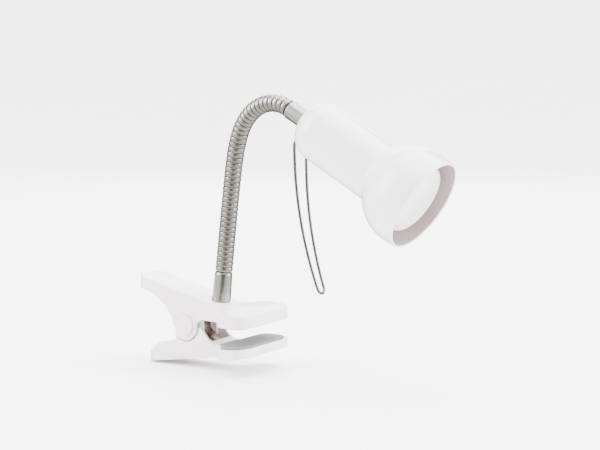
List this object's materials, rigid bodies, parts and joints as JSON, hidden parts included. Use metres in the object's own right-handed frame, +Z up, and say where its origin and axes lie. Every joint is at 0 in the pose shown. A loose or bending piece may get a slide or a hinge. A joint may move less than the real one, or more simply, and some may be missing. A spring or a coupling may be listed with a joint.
{
  "type": "clip-on reading lamp",
  "caption": "Reading lamp with a sprung board clip, a flexible metal neck and a white spot head with a domed back, flared bowl and long wire handle.",
  "frame": {"origin": "centre of the upper pad's grip face, where it rests on the board", "axes": "+X from the handles to the jaw tips and along the head's reach, +Z up out of the board, Y across the jaws; the plane y = 0 is the lamp's plane of symmetry"},
  "size_m": [0.2382, 0.066, 0.1885],
  "materials": {
    "white_plastic": "glossy white injection moulding, softly rounded edges",
    "pad_rubber": "soft matt grey pad",
    "pin_steel": "zinc plated steel",
    "spring_steel": "dark bronzed strip spring steel",
    "satin_nickel": "satin nickel plated, polished highlights along the sleeves",
    "hose_steel": "satin nickel plated interlocked hose, bright crests and dark grooves",
    "lead_jacket": "white sheathed cores",
    "shade_white": "white gloss stove enamel",
    "holder_plastic": "white heat resistant plastic",
    "brass": "bright brass",
    "bulb_glass": "pearl frosted reflector glass",
    "cap_nickel": "plain aluminium screw cap",
    "insulator": "black vitrite",
    "filament": "tungsten wire",
    "stem_glass": "clear glass",
    "wire_chrome": "dark bright chrome wire"
  },
  "bodies": {
    "clip": {"upper_jaw": "white_plastic", "upper_pad": "pad_rubber", "pivot_pin": "pin_steel", "pivot_caps": "white_plastic", "jaw_spring": "spring_steel", "lower_sleeve": "satin_nickel", "sleeve_washer": "pin_steel", "sleeve_nut": "pin_steel", "cord_grommet": "white_plastic", "lead": "lead_jacket"},
    "lower_jaw": {"lower_jaw": "white_plastic", "lower_pad": "pad_rubber"},
    "neck_01": {"neck_link_01": "hose_steel"},
    "neck_02": {"neck_link_02": "hose_steel"},
    "neck_03": {"neck_link_03": "hose_steel"},
    "neck_04": {"neck_link_04": "hose_steel"},
    "neck_05": {"neck_link_05": "hose_steel"},
    "neck_06": {"neck_link_06": "hose_steel"},
    "neck_07": {"neck_link_07": "hose_steel"},
    "neck_08": {"neck_link_08": "hose_steel"},
    "neck_09": {"neck_link_09": "hose_steel"},
    "neck_10": {"neck_link_10": "hose_steel"},
    "neck_11": {"neck_link_11": "hose_steel"},
    "neck_12": {"neck_link_12": "hose_steel"},
    "neck_13": {"neck_link_13": "hose_steel"},
    "neck_14": {"neck_link_14": "hose_steel"},
    "neck_15": {"neck_link_15": "hose_steel"},
    "head": {"upper_sleeve": "satin_nickel", "shade": "shade_white", "shade_washer": "pin_steel", "shade_nut": "pin_steel", "holder_cap": "holder_plastic", "holder_body": "holder_plastic", "holder_shell": "brass", "holder_contact": "brass", "holder_terminals": "brass", "terminal_screws": "pin_steel", "bulb_glass": "bulb_glass", "bulb_cap": "cap_nickel", "bulb_insulator": "insulator", "bulb_contact": "cap_nickel", "bulb_stem": "stem_glass", "bulb_filament": "filament", "handle_wire": "wire_chrome"}
  },
  "joints": [
    {"name": "jaw_hinge", "type": "hinge", "parent": "clip", "child": "lower_jaw", "pos_m": [-0.0457, 0, -0.004], "axis": [0, 1, 0], "range_deg": [-11.6, 32], "stiffness_Nm_per_rad": 0.6, "deforming": ["jaw_spring"]},
    {"name": "neck_sway_01", "type": "hinge", "parent": "clip", "child": "neck_01", "pos_m": [-0.0228, 0, 0.03406], "axis": [0.9936, 0, -0.1132], "range_deg": [-12, 12]},
    {"name": "neck_lean_01", "type": "hinge", "parent": "neck_01", "child": "neck_02", "pos_m": [-0.02085, 0, 0.0512], "axis": [0, 1, 0], "range_deg": [-12, 12]},
    {"name": "neck_sway_02", "type": "hinge", "parent": "neck_02", "child": "neck_03", "pos_m": [-0.01889, 0, 0.06834], "axis": [0.9935, 0, -0.1136], "range_deg": [-12, 12]},
    {"name": "neck_lean_02", "type": "hinge", "parent": "neck_03", "child": "neck_04", "pos_m": [-0.01689, 0, 0.08548], "axis": [0, 1, 0], "range_deg": [-12, 12]},
    {"name": "neck_sway_03", "type": "hinge", "parent": "neck_04", "child": "neck_05", "pos_m": [-0.01473, 0, 0.10259], "axis": [0.9921, 0, -0.1254], "range_deg": [-12, 12]},
    {"name": "neck_bend_01", "type": "hinge", "parent": "neck_05", "child": "neck_06", "pos_m": [-0.01371, 0, 0.10941], "axis": [0, 1, 0], "range_deg": [-1.77, 0.14]},
    {"name": "neck_bend_02", "type": "hinge", "parent": "neck_06", "child": "neck_07", "pos_m": [-0.01248, 0, 0.1162], "axis": [0, 1, 0], "range_deg": [-3.11, 0.25]},
    {"name": "neck_bend_03", "type": "hinge", "parent": "neck_07", "child": "neck_08", "pos_m": [-0.01088, 0, 0.12291], "axis": [0, 1, 0], "range_deg": [-5.12, 0.41]},
    {"name": "neck_bend_04", "type": "hinge", "parent": "neck_08", "child": "neck_09", "pos_m": [-0.00869, 0, 0.12945], "axis": [0, 1, 0], "range_deg": [-7.67, 0.61]},
    {"name": "neck_bend_05", "type": "hinge", "parent": "neck_09", "child": "neck_10", "pos_m": [-0.00565, 0, 0.13564], "axis": [0, 1, 0], "range_deg": [-10.36, 0.83]},
    {"name": "neck_bend_06", "type": "hinge", "parent": "neck_10", "child": "neck_11", "pos_m": [-0.00154, 0, 0.14118], "axis": [0, 1, 0], "range_deg": [-12.67, 1.01], "deforming": ["lead"]},
    {"name": "neck_bend_07", "type": "hinge", "parent": "neck_11", "child": "neck_12", "pos_m": [0.00367, 0, 0.14568], "axis": [0, 1, 0], "range_deg": [-14.34, 1.15]},
    {"name": "neck_bend_08", "type": "hinge", "parent": "neck_12", "child": "neck_13", "pos_m": [0.00983, 0, 0.14874], "axis": [0, 1, 0], "range_deg": [-15.39, 1.23]},
    {"name": "neck_bend_09", "type": "hinge", "parent": "neck_13", "child": "neck_14", "pos_m": [0.01659, 0, 0.15007], "axis": [0, 1, 0], "range_deg": [-16, 1.28]},
    {"name": "neck_bend_10", "type": "hinge", "parent": "neck_14", "child": "neck_15", "pos_m": [0.02345, 0, 0.14947], "axis": [0, 1, 0], "range_deg": [-16.33, 1.31]},
    {"name": "neck_bend_11", "type": "hinge", "parent": "neck_15", "child": "head", "pos_m": [0.02986, 0, 0.14698], "axis": [0, 1, 0], "range_deg": [-8.23, 0.66]}
  ]
}
